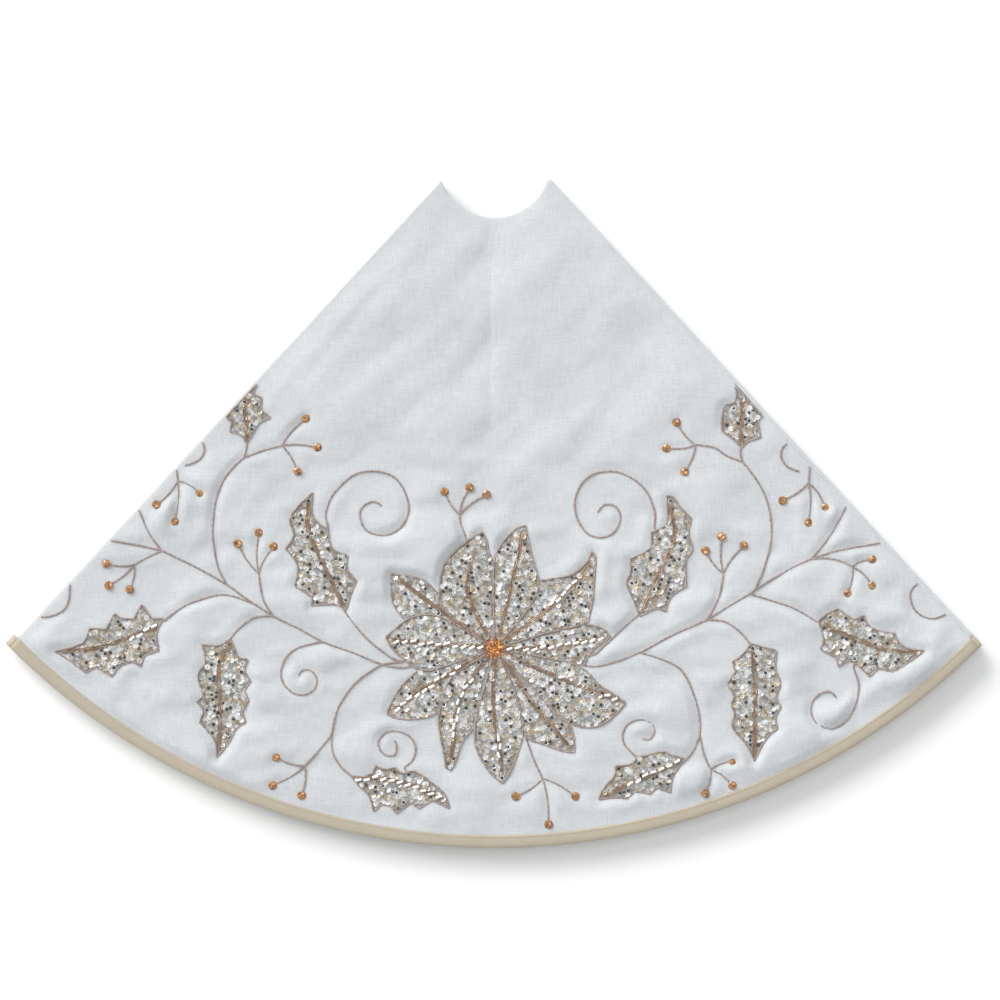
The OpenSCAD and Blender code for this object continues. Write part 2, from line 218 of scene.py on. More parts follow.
def smooth_line(points, steps=5):
    last = len(points) - 1
    parts = [
        curve_through(points[max(i - 1, 0)], points[i], points[i + 1], points[min(i + 2, last)], steps)
        for i in range(last)
    ]
    return np.concatenate([*parts, points[-1:]])


def spaced(points, step):
    """The same line, with its points evenly spaced."""
    lengths = np.linalg.norm(np.diff(points, axis=0), axis=1)
    run = np.concatenate([[0], np.cumsum(lengths)])
    places = np.linspace(0, run[-1], max(2, round(run[-1] / step) + 1))
    return np.stack([np.interp(places, run, points[:, k]) for k in range(points.shape[1])], axis=1)


def closed_line(outline, step):
    """A closed outline as evenly spaced points, back to where it starts."""
    return spaced(np.concatenate([outline, outline[:1]]), step)


def inside(outline, points):
    """Which points lie inside an outline."""
    x, y = points[:, 0], points[:, 1]
    odd = np.zeros(len(points), bool)
    for (x1, y1), (x2, y2) in zip(outline, np.roll(outline, -1, axis=0), strict=True):
        crosses = (y1 > y) != (y2 > y)
        odd ^= crosses & (x < (x2 - x1) * (y - y1) / (y2 - y1 + 1e-12) + x1)
    return odd


def headings(path):
    """Each point of a line with the direction that it runs in there."""
    return list(zip(path, np.gradient(path, axis=0), strict=True))


def tree_of(points):
    tree = kdtree.KDTree(len(points))
    for i, p in enumerate(points):
        tree.insert((p[0], p[1], 0), i)
    tree.balance()
    return tree


def distances(tree, points):
    return np.array([tree.find((p[0], p[1], 0))[2] for p in points])


# ---- the embroidery's lines, from the solids of quarter 1 ----

petals = [smooth_outline(o) for o in solid_outlines("petals_1")]
leaves = [smooth_outline(o) for o in solid_outlines("holly_leaves_1")]
petal_ribs = [smooth_line(middle_line(o)) for o in solid_outlines("petal_ribs_1")]
leaf_ribs = [smooth_line(middle_line(o)) for o in solid_outlines("leaf_ribs_1")]
berry_places = [o.mean(axis=0) for o in solid_outlines("berries_1")]
centre_places = [o.mean(axis=0) for o in solid_outlines("flower_centre_1")]
FLOWER = np.mean(centre_places, axis=0)

# The routes of the couched vines, in mm, each from the thing it grows from
VINES = [
    # left stems
    [(-92, -506), (-112, -503), (-142, -491), (-172, -480), (-196, -467), (-222, -454), (-250, -436),
        (-268, -423), (-300, -405), (-333, -389)],
    [(-333, -389), (-345, -373), (-354, -353), (-362, -335)],
    [(-333, -389), (-355, -384), (-378, -380), (-400, -376)],
    [(-333, -389), (-348, -396), (-361, -403)],
    [(-268, -423), (-277, -405), (-282, -375), (-280, -345), (-273, -322), (-262, -306), (-251, -296)],
    [(-251, -296), (-249, -290), (-248, -283)],
    [(-251, -296), (-232, -289), (-213, -284)],
    [(-97, -499), (-112, -490), (-130, -475), (-150, -450)],
    [(-240, -443), (-270, -433), (-300, -440), (-316, -448), (-331, -459)],
    [(-222, -454), (-240, -456), (-255, -466), (-264, -477)],
    [(-112, -503), (-123, -509), (-138, -520), (-150, -535), (-158, -550), (-163, -572), (-162, -590),
        (-155, -604), (-144, -614)],
    [(-163, -573), (-175, -588), (-190, -604)],
    [(-222, -454), (-232, -437), (-236, -412)],
    [(-317, -296), (-318, -308), (-317, -319)],
    # left curls
    [(-167, -364), (-169, -352), (-163, -335), (-150, -320), (-135, -311), (-115, -310), (-100, -316),
        (-90, -330), (-86, -347), (-91, -362), (-103, -372), (-118, -373), (-130, -367), (-135, -353),
        (-131, -344), (-121, -340), (-113, -344)],
    [(-172, -480), (-186, -483), (-200, -488), (-210, -498), (-214, -512), (-210, -524), (-200, -532),
        (-189, -533), (-180, -527), (-178, -517), (-184, -509), (-193, -509), (-196, -515)],
    [(-90, -606), (-83, -600), (-79, -588), (-84, -576), (-96, -570), (-108, -571), (-116, -579),
        (-115, -588), (-108, -594), (-100, -593), (-98, -586), (-100, -579)],
    [(-298, -272), (-292, -281), (-291, -291), (-297, -299), (-310, -304)],
    [(-422, -410), (-425, -425), (-426, -438), (-432, -449), (-446, -455), (-460, -455)],
    # above and below the flower
    [(-30, -372), (-34, -363), (-35, -353)],
    [(34, -584), (40, -600), (48, -617)],
    # right stems
    [(98, -505), (118, -501), (145, -491), (175, -475), (212, -458), (232, -446), (255, -432),
        (275, -419), (300, -405), (317, -397)],
    [(317, -397), (335, -375), (347, -354), (355, -335)],
    [(317, -397), (340, -390), (370, -384), (405, -378)],
    [(317, -397), (335, -397), (348, -400), (358, -405)],
    [(260, -429), (270, -405), (277, -375), (274, -345), (266, -325), (256, -310), (248, -300)],
    [(248, -300), (246, -294), (246, -288)],
    [(248, -300), (232, -294), (220, -286), (201, -283)],
    [(97, -494), (110, -484), (125, -470), (145, -452)],
    [(255, -432), (280, -440), (300, -447), (324, -461)],
    [(212, -458), (230, -460), (245, -470), (257, -484)],
    [(145, -491), (165, -497), (185, -507), (196, -525), (204, -550), (205, -572), (199, -589),
        (189, -600)],
    [(205, -572), (209, -592), (216, -608)],
    [(212, -458), (224, -437), (229, -412)],
    [(314, -296), (315, -308), (314, -321)],
    # right curls
    [(160, -366), (160, -350), (152, -330), (138, -317), (120, -310), (100, -312), (87, -322),
        (80, -340), (83, -358), (93, -372), (107, -376), (120, -370), (126, -356), (121, -345),
        (110, -343), (103, -351)],
    [(138, -592), (130, -583), (128, -573), (133, -563), (145, -558), (157, -562), (160, -570),
        (155, -578), (148, -577)],
    [(359, -506), (364, -522), (362, -540), (353, -558), (340, -567), (327, -565), (318, -556),
        (317, -543), (324, -533), (335, -530), (342, -536)],
    [(303, -281), (294, -281), (287, -288), (287, -297), (293, -305), (305, -310)],
    [(436, -414), (426, -420), (417, -428), (416, -438), (420, -448), (429, -455), (440, -457),
        (452, -452), (462, -444)]
]
# Sprays of berries as (fork, berries)
SPRAYS = [
    [(-213, -284), [(-189, -257), (-177, -286), (-197, -310)]],
    [(-236, -412), [(-257, -382), (-236, -371), (-221, -385)]],
    [(-317, -319), [(-338, -343), (-320, -360), (-295, -332)]],
    [(-361, -403), [(-389, -402), (-386, -424), (-365, -428)]],
    [(-190, -604), [(-219, -596), (-222, -624), (-193, -634)]],
    [(-35, -353), [(-50, -330), (-25, -326), (-8, -333)]],
    [(48, -617), [(21, -635), (54, -663), (81, -635)]],
    [(201, -283), [(182, -261), (172, -287), (190, -310)]],
    [(229, -412), [(227, -375), (211, -389), (249, -384)]],
    [(314, -321), [(288, -339), (314, -361), (331, -346)]],
    [(358, -405), [(378, -398), (378, -424), (353, -432)]],
    [(216, -608), [(239, -600), (238, -624), (211, -632)]]
]
TWIG_BOW = 2  # how far a twig bows sideways


def inside_fold(points):
    """How far points lie inside the nearer fold edge."""
    mirrored = np.stack([np.abs(points[:, 0]), points[:, 1]], axis=1)
    return (NECK_CORNER - mirrored) @ FOLD_OUT


def twig(fork, berry):
    """A twig from its fork to the edge of its berry, bowed sideways."""
    t = np.linspace(0, 1, 6)[:, None]
    ahead = (berry - fork) / np.linalg.norm(berry - fork)
    side = np.array([-ahead[1], ahead[0]])
    line = fork + (berry - fork) * t * 0.93 + side * TWIG_BOW * 4 * t * (1 - t)
    return smooth_line(line * MM)


def nearest_on(shapes, point):
    """The nearest point on the outlines of shapes."""
    rims = np.concatenate([closed_line(o, 1 * MM) for o in shapes])
    return rims[np.argmin(np.linalg.norm(rims - point, axis=1))]


def joined_up(points, reach=13 * MM):
    """A vine carried on to the petal or leaf that it grows from or meets, and stopped at its outline."""
    line = np.array(points, float) * MM
    to_flower = FLOWER - line[0]
    if np.linalg.norm(to_flower) < 125 * MM:
        line = np.concatenate([[line[0] + to_flower * 20 * MM / np.linalg.norm(to_flower)], line])
    for _ in range(2):
        rim = nearest_on(leaves, line[-1])
        gap, ahead = rim - line[-1], line[-1] - line[-2]
        if 0.8 * MM < np.linalg.norm(gap) < reach and gap @ ahead > 0:
            line = np.concatenate([line, [rim]])
        line = line[::-1]
    line = spaced(smooth_line(line), 1.5 * MM)
    outside = inside_fold(line) > 1.2 * MM
    for shape in petals:
        outside &= ~inside(shape, line)
    return line[outside]


vines = [joined_up(v) for v in VINES]
twigs = [twig(np.array(f, float), np.array(b, float)) for f, berries in SPRAYS for b in berries]
strands = vines + twigs
outline_points = np.concatenate([spaced(o, 1 * MM) for o in petals + leaves])


def own_outline(shapes, near=1.7 * MM):
    """The outlines as open lines, each stretch that two shapes share drawn once."""
    lines, drawn = [], []
    for shape in shapes:
        closed = closed_line(shape, 1 * MM)
        if drawn:
            free = distances(tree_of(np.concatenate(drawn)), closed) > near
        else:
            free = np.ones(len(closed), bool)
        free &= np.linalg.norm(closed - FLOWER, axis=1) > 11 * MM
        drawn.append(closed)
        cuts = np.flatnonzero(np.diff(free.astype(int))) + 1
        for part in np.split(np.arange(len(closed)), cuts):
            if free[part[0]] and len(part) > 4:
                lines.append(closed[part])
    return lines


petal_edges = own_outline(petals)
leaf_edges = own_outline(leaves)
HEART_R = 12.5 * MM  # of the net and beads in the middle of the flower


def ring(radius, count):
    """Places round the flower's middle."""
    return [
        (FLOWER[0] + radius * math.cos(a), FLOWER[1] + radius * math.sin(a))
        for a in (2 * math.pi * (k + 0.5) / count for k in range(count))
    ]


# ---- the lie of the cloth ----


def smoothstep(x):
    x = np.clip(x, 0, 1)
    return x * x * (3 - 2 * x)


def waves(points, length, across=1.0, seed=0.0, octaves=2):
    """Smooth noise over the cloth, drawn out along x where across is under 1."""
    size = 1 / length
    return np.array([
        noise.fractal((x * size * across, y * size, seed), 1, 2, octaves) for x, y in points
    ])


sewn = tree_of(np.concatenate([
    *(spaced(line, 2 * MM) for line in strands), outline_points, *petal_ribs, *leaf_ribs, berry_places,
]))


def lie_of(points):
    """How far the cloth stands off its flat place, in mm. It is sewn down along the embroidery and the
    edges, and it rises between them in broad, slanted and rippled waves."""
    free = distances(sewn, points)
    for shape in [*petals, *leaves, np.array(ring(HEART_R, 24))]:
        free[inside(shape, points)] = 0
    radius = np.hypot(*points.T)
    edges = smoothstep(inside_fold(points) / (24 * MM)) * smoothstep((TAPE_R - radius) / (9 * MM))
    edges = edges * smoothstep((radius - NECK_R) / (14 * MM))
    angle = np.arctan2(points[:, 0], -points[:, 1])
    lower = smoothstep((-points[:, 1] - 0.24) / 0.12)
    broad = 5.5 * waves(points, 0.09, 0.85, 3.0, 1)
    drawn = (points[:, 0] - 0.8 * points[:, 1]) / 1.28  # folds drawn from upper right to lower left
    slanted = 2.4 * waves(np.stack([drawn * 1.5, points[:, 1] * 0.6], axis=1), 0.06, 1.0, 5.0, 2)
    ripples = 4.0 * waves(points, 0.036, 0.45, 7.0, 2) * (0.18 + 0.82 * lower)
    puckers = 3.0 * waves(points, 0.018, 0.5, 11.0, 1) * np.exp(-free / (26 * MM)) * lower
    # the two press creases, and the soft fold inside the right of the hem
    down_middle = np.exp(-np.abs(points[:, 0] + 4 * MM) / (13 * MM))
    down_middle = down_middle * smoothstep((points[:, 1] + 0.36) / 0.1)
    across_middle = np.exp(-np.abs(points[:, 1] + 0.308) / (9 * MM))
    roll = np.exp(-(((TAPE_R - radius - 27 * MM) / (11 * MM)) ** 2))
    roll = roll * smoothstep((angle - 0.12) / 0.16)
    held = smoothstep(free / (9 * MM))
    creases = 2.4 * down_middle + 1.2 * across_middle
    loose = held * (2.3 + broad + slanted + ripples - creases + 6.0 * roll)
    return np.clip(edges * (loose + puckers * (0.3 + 0.7 * held)), -0.45, 7.0)


# ---- building meshes ----


def link(mesh, name):
    obj = bpy.data.objects.new(name, mesh)
    bpy.context.scene.collection.objects.link(obj)
    return obj


def new_mesh(name, points, faces, materials, slots=None, smooth=True):
    mesh = bpy.data.meshes.new(name)
    mesh.from_pydata([tuple(p) for p in points], [], [tuple(int(i) for i in f) for f in faces])
    for m in materials:
        mesh.materials.append(m)
    if slots is not None:
        mesh.polygons.foreach_set("material_index", np.asarray(slots, np.int32))
    mesh.polygons.foreach_set("use_smooth", np.full(len(mesh.polygons), smooth))
    mesh.update()
    return mesh


class Stamps:
    """Many copies of small shapes, gathered into one mesh."""

    def __init__(self):
        self.points, self.faces, self.slots, self.count = [], [], [], 0

    def add(self, shape, matrix, slot=0):
        points, faces = shape
        matrix = np.array(matrix)
        self.points.append(points @ matrix[:3, :3].T + matrix[:3, 3])
        self.faces.extend([[i + self.count for i in face] for face in faces])
        self.slots.extend([slot] * len(faces))
        self.count += len(points)

    def mesh(self, name, materials, smooth=True):
        return new_mesh(name, np.concatenate(self.points), self.faces, materials, self.slots, smooth)


def revolved(profile, sides):
    """A closed solid from (radius, height) pairs, bottom to top, whose first and last radius are 0."""
    points, faces = [(0, 0, profile[0][1])], []
    for radius, height in profile[1:-1]:
        for k in range(sides):
            a = 2 * math.pi * k / sides
            points.append((radius * math.cos(a), radius * math.sin(a), height))
    points.append((0, 0, profile[-1][1]))
    rings = len(profile) - 2
    for k in range(sides):
        nxt = (k + 1) % sides
        faces.append((0, 1 + nxt, 1 + k))
        for r in range(rings - 1):
            low = 1 + r * sides
            faces.append((low + k, low + nxt, low + sides + nxt, low + sides + k))
        top = 1 + (rings - 1) * sides
        faces.append((top + k, top + nxt, len(points) - 1))
    return np.array(points), faces


def swept_faces(rings, sides, first=0):
    """The faces of a closed tube, whose rings of points follow each other from the first point."""
    faces = []
    for low in range(first, first + (rings - 1) * sides, sides):
        for s in range(sides):
            t = (s + 1) % sides
            faces.append((low + s, low + t, low + sides + t, low + sides + s))
    last = first + (rings - 1) * sides
    return [*faces, tuple(range(first, first + sides))[::-1], tuple(range(last, last + sides))]


def ball(radius, height, sides, rings):
    turns = [math.pi * (i / rings - 0.5) for i in range(rings + 1)]
    profile = [(radius * math.cos(a), height * math.sin(a)) for a in turns]
    profile[0], profile[-1] = (0, -height), (0, height)
    return revolved(profile, sides)


def placed(x, y, z, turn=0.0, tilt=0.0, tilt_way=0.0, size=1.0):
    lean = Matrix.Rotation(tilt, 4, Vector((math.cos(tilt_way), math.sin(tilt_way), 0)))
    return Matrix.Translation((x, y, z)) @ lean @ Matrix.Rotation(turn, 4, "Z") @ Matrix.Scale(size, 4)


def cord_mesh(name, lines, radius, height, mat, pitch=5.6 * MM, step=0.8 * MM, sides=6):
    """Two-ply cord sewn along each line: a tube with two lobes that wind round it."""
    points, faces = [], []
    for line in lines:
        path = spaced(line, step)
        ahead = np.gradient(path, axis=0)
        ahead /= np.linalg.norm(ahead, axis=1)[:, None] + 1e-12
        run = np.arange(len(path)) * step
        first = len(points)
        for k, ((x, y), (dx, dy)) in enumerate(zip(path, ahead, strict=True)):
            wind = math.pi * 2 * run[k] / pitch
            thin = 0.55 if k in (0, len(path) - 1) else 1.0
            for s in range(sides):
                a = 2 * math.pi * s / sides
                r = radius * thin * (1 + 0.2 * math.cos(2 * a - wind))
                side = r * math.cos(a)
                points.append((x - dy * side, y + dx * side, height + r * math.sin(a)))
        faces += swept_faces(len(path), sides, first)
    mesh = new_mesh(name, points, faces, [mat])
    flip_if_inside_out(mesh)
    return mesh


def flip_if_inside_out(mesh):
    bm = bmesh.new()
    bm.from_mesh(mesh)
    bmesh.ops.recalc_face_normals(bm, faces=bm.faces)
    bm.to_mesh(mesh)
    bm.free()


def bridge_stitch(width, height, thickness=0.42 * MM):
    """One stitch over a cord, across x: a thread that arches from cloth to cloth."""
    shoulder, rise = 0.6 * width, 0.85 * height
    arch = [(-width, 0), (-shoulder, rise), (0, height), (shoulder, rise), (width, 0)]
    half = thickness / 2
    section = ((-half, -half), (half, -half), (half, half), (-half, half))
    points = [(x, y, z + dz) for x, z in arch for y, dz in section]
    return np.array(points), swept_faces(len(arch), len(section))


def couching(lines, every, radius):
    """Stitches that hold a cord down, square across each line."""
    stitches = Stamps()
    shape = bridge_stitch(radius * 1.55, radius * 2.15)
    for line in lines:
        for (x, y), (dx, dy) in headings(spaced(line, every))[1:-1]:
            turn = math.atan2(dy, dx) + math.pi / 2 + random.uniform(-0.25, 0.25)
            stitches.add(shape, placed(x, y, CLOTH_TOP, turn))
    return stitches


# ---- materials ----


def material(name, color, roughness, **sockets):
    """A principled material; its base colour gets a node of its own after this."""
    mat = bpy.data.materials.new(name)
    mat.use_nodes = True
    shader = mat.node_tree.nodes["Principled BSDF"]
    shader.inputs["Base Color"].default_value = (*color, 1)
    shader.inputs["Roughness"].default_value = roughness
    for key, value in sockets.items():
        shader.inputs[key.replace("_", " ")].default_value = value
    return mat, mat.node_tree, shader


def node(tree, kind, **values):
    made = tree.nodes.new(kind)
    for key, value in values.items():
        if key in made.inputs:
            made.inputs[key].default_value = value
        else:
            setattr(made, key, value)
    return made


def scaled_place(tree, scale):
    """Object coordinates, scaled."""
    where = node(tree, "ShaderNodeTexCoord")
    mapping = node(tree, "ShaderNodeMapping", Scale=scale)
    tree.links.new(where.outputs["Object"], mapping.inputs["Vector"])
    return mapping.outputs["Vector"]


def noise_at(tree, scale, detail=2.0, rough=0.5):
    made = node(tree, "ShaderNodeTexNoise", Scale=1.0, Detail=detail, Roughness=rough)
    tree.links.new(scaled_place(tree, scale), made.inputs["Vector"])
    return made.outputs["Fac"]


def mixed(tree, factor, low, high):
    ramp = node(tree, "ShaderNodeValToRGB")
    ramp.color_ramp.elements[0].position = 0.3
    ramp.color_ramp.elements[1].position = 0.7
    ramp.color_ramp.elements[0].color = (*low, 1)
    ramp.color_ramp.elements[1].color = (*high, 1)
    tree.links.new(factor, ramp.inputs["Fac"])
    return ramp.outputs["Color"]


def tinted(tree, shader, factor, low, high):
    tree.links.new(mixed(tree, factor, low, high), shader.inputs["Base Color"])


def bumped(tree, shader, height, strength, distance):
    bump = node(tree, "ShaderNodeBump", Strength=strength, Distance=distance)
    tree.links.new(height, bump.inputs["Height"])
    tree.links.new(bump.outputs["Normal"], shader.inputs["Normal"])


def maths(tree, operation, a, b):
    made = node(tree, "ShaderNodeMath", operation=operation)
    for socket, value in zip(made.inputs, (a, b), strict=False):
        if isinstance(value, (int, float)):
            socket.default_value = value
        else:
            tree.links.new(value, socket)
    return made.outputs["Value"]


def weave_height(tree, thread):
    """Warp and weft that pass over and under each other, one pair each two threads."""
    pull = noise_at(tree, (90, 90, 90), 1.0)
    heights = []
    for direction in ("X", "Y"):
        wave = node(tree, "ShaderNodeTexWave", bands_direction=direction, Scale=1.0, Distortion=0.0)
        tree.links.new(scaled_place(tree, (0.314 / thread,) * 3), wave.inputs["Vector"])
        heights.append(wave.outputs["Fac"])
    return maths(tree, "ADD", maths(tree, "MULTIPLY", *heights), maths(tree, "MULTIPLY", pull, 0.6))


def woven(name, light, dark, thread, depth=0.5, roughness=0.85, sheen=0.25, slub=0.6):
    """Plain-woven cloth: uneven threads both ways, and a faint cloudiness."""
    mat, tree, shader = material(name, light, roughness, Sheen_Weight=sheen, Sheen_Roughness=0.5)
    along = noise_at(tree, (70, 900, 300), 2.0, 0.6)
    across = noise_at(tree, (900, 70, 300), 2.0, 0.6)
    clouds = noise_at(tree, (14, 14, 14), 3.0, 0.55)
    slubs = [maths(tree, "MULTIPLY", way, slub) for way in (along, across)]
    threads = maths(tree, "ADD", *slubs)
    mottle = maths(tree, "ADD", threads, maths(tree, "MULTIPLY", clouds, 1 - slub))
    shade = maths(tree, "DIVIDE", mottle, 1 + slub)
    tinted(tree, shader, shade, dark, light)
    bumped(tree, shader, maths(tree, "ADD", weave_height(tree, thread), threads), depth, 0.3 * MM)
    return mat


def plied(name, light, dark, roughness=0.7, metal=0.0):
    """Cord or thread, mottled along its length."""
    mat, tree, shader = material(name, light, roughness, Metallic=metal, Sheen_Weight=0.15)
    tinted(tree, shader, noise_at(tree, (260, 260, 260), 2.0), dark, light)
    bumped(tree, shader, noise_at(tree, (2600, 2600, 2600), 2.0), 0.35, 0.1 * MM)
    return mat


def shiny(name, light, dark, roughness, metal=0.0, coat=0.0, clear=0.0, patch=180):
    """Foil, glass or acrylic with a slightly uneven surface."""
    mat, tree, shader = material(
        name, light, roughness, Metallic=metal, Coat_Weight=coat, Coat_Roughness=0.05,
        Transmission_Weight=clear, IOR=1.5,
    )
    tinted(tree, shader, noise_at(tree, (patch,) * 3, 1.0), dark, light)
    bumped(tree, shader, noise_at(tree, (900, 900, 900), 1.0), 0.15, 0.1 * MM)
    return mat


FACE = woven("face_cloth", (0.70, 0.72, 0.735), (0.50, 0.525, 0.545), 0.55 * MM, 0.8)
LINING = woven("lining_cloth", (0.78, 0.78, 0.76), (0.70, 0.70, 0.68), 0.3 * MM, 0.3, 0.6, 0.4, 0.4)
FELT = woven("interlining_felt", (0.80, 0.80, 0.78), (0.70, 0.70, 0.68), 0.9 * MM, 0.9, 0.95, 0.5, 0.2)
BINDING = woven("binding_sateen", (0.45, 0.395, 0.305), (0.39, 0.34, 0.26), 0.35 * MM, 0.35, 0.55, 0.3, 0.5)
BINDING_THREAD = plied("binding_thread", (0.54, 0.48, 0.38), (0.44, 0.39, 0.30))
CORD = plied("couched_cord", (0.43, 0.345, 0.31), (0.25, 0.19, 0.17))
COUCHING = plied("couching_thread", (0.50, 0.42, 0.38), (0.36, 0.29, 0.26))
# the net under the sequins: its dark grey-brown is partly its own colour and partly painted shade for the
# gaps between the sequins
NET = woven("sequin_net_painted_gap_shade", (0.40, 0.38, 0.35), (0.27, 0.25, 0.23), 0.8 * MM, 0.8, 0.8, 0.1, 0.7)
COPPER = plied("copper_thread", (0.40, 0.255, 0.16), (0.22, 0.13, 0.085), 0.45, 0.35)
SILVER = shiny("silver_sequin", (0.54, 0.54, 0.53), (0.28, 0.28, 0.275), 0.36, 0.5)
CHAMPAGNE = shiny("champagne_sequin", (0.50, 0.44, 0.345), (0.27, 0.225, 0.17), 0.38, 0.45)
CLEAR = shiny("clear_sequin", (0.78, 0.79, 0.79), (0.52, 0.525, 0.52), 0.28, 0.05, 0.3, 0.1)
# near black painted on the larger beads: a painted dark reflection, for clear centre beads and sequin holes
# that reflect dark
DARK_BEAD_PAINTED_REFLECTION = shiny("bead_painted_dark_reflection", (0.05, 0.05, 0.055), (0.02, 0.02, 0.025), 0.18, 0.3, 0.8)
# pale seed beads painted as glints: their light colour stands in for specular flashes on the sequins
GLINT = shiny("seed_bead_painted_glint", (0.80, 0.79, 0.76), (0.56, 0.54, 0.51), 0.25, 0.5, 0.3)
# the bugle beads are coloured near white as a painted highlight: the white stands in for the flash that
# lights them
BUGLE = shiny("bugle_bead_painted_flash", (0.98, 0.98, 0.97), (0.92, 0.92, 0.90), 0.16, 0.1, 0.9, 0.0, 60)
AMBER = shiny("amber_bead", (0.60, 0.31, 0.10), (0.15, 0.055, 0.02), 0.16, 0.1, 1.0, 0.1, 300)
AMBER_DEEP = shiny("amber_seed", (0.26, 0.09, 0.025), (0.13, 0.04, 0.015), 0.15, 0.1, 1.0)
ORANGE = shiny("orange_bead", (0.85, 0.38, 0.08), (0.33, 0.10, 0.02), 0.16, 0.1, 1.0, 0.1, 300)
HOOKS = woven("hook_tape", (0.78, 0.77, 0.73), (0.60, 0.59, 0.55), 1.1 * MM, 1.0, 0.5, 0.1, 0.3)
LOOPS = woven("loop_tape", (0.82, 0.81, 0.78), (0.66, 0.65, 0.62), 0.9 * MM, 1.0, 0.95, 0.8, 0.2)


# ---- the cloth ----


def grid_points(columns, rows, outer=TAPE_R + 2 * MM):
    """A grid over the quarter, from neck to hem in rows and from fold to fold in columns."""
    s = np.linspace(-1, 1, columns + 1)
    t = np.linspace(0, 1, rows + 1)[:, None, None]
    neck = np.stack([at_angle(NECK_R, a) for a in s * NECK_ANGLE])
    hem = np.stack([at_angle(outer, a) for a in s * fold_angle(outer)])
    return (neck + (hem - neck) * t).reshape(-1, 2)


def rim_of(columns, rows):
    """The grid's outer points, clockwise from the left of the neck."""
    width = columns + 1
    return (
        [i for i in range(columns)]
        + [k * width + columns for k in range(rows)]
        + [rows * width + i for i in range(columns, 0, -1)]
        + [k * width for k in range(rows, 0, -1)]
    )


def layer(name, mat, low, high, columns, rows, lie=None, wrap=()):
    """A closed layer of cloth between two heights. wrap gives rings round its rim as (outwards, height),
    which turn the cloth under at its edges."""
    flat = grid_points(columns, rows)
    lift = np.zeros(len(flat)) if lie is None else lie * MM
    count = len(flat)
    top = np.column_stack([flat, high + lift])
    under = np.column_stack([flat, np.full(count, low)])
    faces = []
    for k in range(rows):
        for i in range(columns):
            a = k * (columns + 1) + i
            b, c, d = a + 1, a + columns + 2, a + columns + 1
            faces.append((d, c, b, a))
            faces.append((count + a, count + b, count + c, count + d))
    rim = rim_of(columns, rows)
    loop = flat[rim]
    ahead = np.roll(loop, -1, axis=0) - np.roll(loop, 1, axis=0)
    outwards = np.stack([-ahead[:, 1], ahead[:, 0]], axis=1)
    outwards /= np.linalg.norm(outwards, axis=1)[:, None]
    points = [top, under]
    rings = [rim]
    for out, height in wrap:
        first = sum(len(p) for p in points)
        points.append(np.column_stack([loop + outwards * out, np.full(len(rim), height)]))
        rings.append(list(range(first, first + len(rim))))
    rings.append([count + i for i in rim])
    for upper, lower in zip(rings, rings[1:], strict=False):
        for k in range(len(rim)):
            j = (k + 1) % len(rim)
            faces.append((upper[k], upper[j], lower[j], lower[k]))
    mesh = new_mesh(name, np.concatenate(points), faces, [mat])
    flip_if_inside_out(mesh)
    return mesh


CLOTH_COLUMNS, TAPE_ROWS = 230, 150
cloth_lie = lie_of(grid_points(CLOTH_COLUMNS, TAPE_ROWS))
# the edge turned in round the lining's edge and under it; it stays short of the hinge lines, so that
# neighbouring edges don't meet when a fold lies open
TURNED_IN = [
    (0.25 * MM, CLOTH_TOP - 0.25 * MM), (0.4 * MM, CLOTH_TOP - 1.0 * MM), (0.4 * MM, 0.8 * MM),
    (0.25 * MM, 0.1 * MM), (0, -0.12 * MM), (-1.2 * MM, -0.12 * MM), (-1.2 * MM, LINING_TOP),
]
UNDER_NEIGHBOURS = 0.4  # share of the top quarter's relief that the quarters under it keep


def cloth_meshes():
    """The top quarter's face cloth and that of the others, which are pressed flatter."""
    return [
        layer(name, FACE, FELT_TOP, CLOTH_TOP, CLOTH_COLUMNS, TAPE_ROWS, cloth_lie * share, TURNED_IN)
        for name, share in (("face_top", 1.0), ("face_pressed", UNDER_NEIGHBOURS))
    ]


# ---- the hem binding ----

BINDING_PROFILE = [
    (-1.2, 3.42), (-1.0, 3.85), (0.6, 4.12), (4, 4.2), (8, 4.05), (10.6, 3.5), (11.8, 2.6), (12, 1.7),
    (11.8, 0.8), (10.6, 0.0), (8, -0.5), (4, -0.62), (0.6, -0.55), (-1.0, -0.35), (-1.2, 0.02),
]  # (outwards from the cloth's edge, height), in mm


def binding_mesh():
    """Tape folded over the hem, swept along its arc and cut at the fold edges."""
    slices = 260
    points = []
    for k in range(slices + 1):
        share = 2 * k / slices - 1
        for out, height in BINDING_PROFILE:
            radius = TAPE_R + out * MM
            x, y = at_angle(radius, share * fold_angle(radius))
            ripple = 0.16 * noise.noise((x * 45, y * 45, 5.0)) if 0 < out < 11 else 0
            points.append((x, y, (height + ripple) * MM))
    mesh = new_mesh("binding", points, swept_faces(slices + 1, len(BINDING_PROFILE)), [BINDING])
    flip_if_inside_out(mesh)
    return mesh


def hem_stitches_mesh():
    """A row of machine stitches along the inner edge of the tape, on both its faces."""
    stitches = Stamps()
    shape = bridge_stitch(1.25 * MM, 0.42 * MM, 0.5 * MM)
    every, radius = 3.9 * MM, TAPE_R + 0.9 * MM
    count = int(2 * TAPE_ANGLE * radius / every)
    for k in range(1, count):
        angle = -TAPE_ANGLE + 2 * TAPE_ANGLE * k / count
        x, y = at_angle(radius, angle)
        stitches.add(shape, placed(x, y, 4.08 * MM, angle))
        stitches.add(shape, placed(x, y, -0.5 * MM, angle) @ Matrix.Rotation(math.pi, 4, "X"))
    return stitches.mesh("hem_stitches", [BINDING_THREAD])


# ---- sequins, ribs and beads ----

ROW_SPACING = 0.866  # between staggered rows, as a share of the pitch in a row

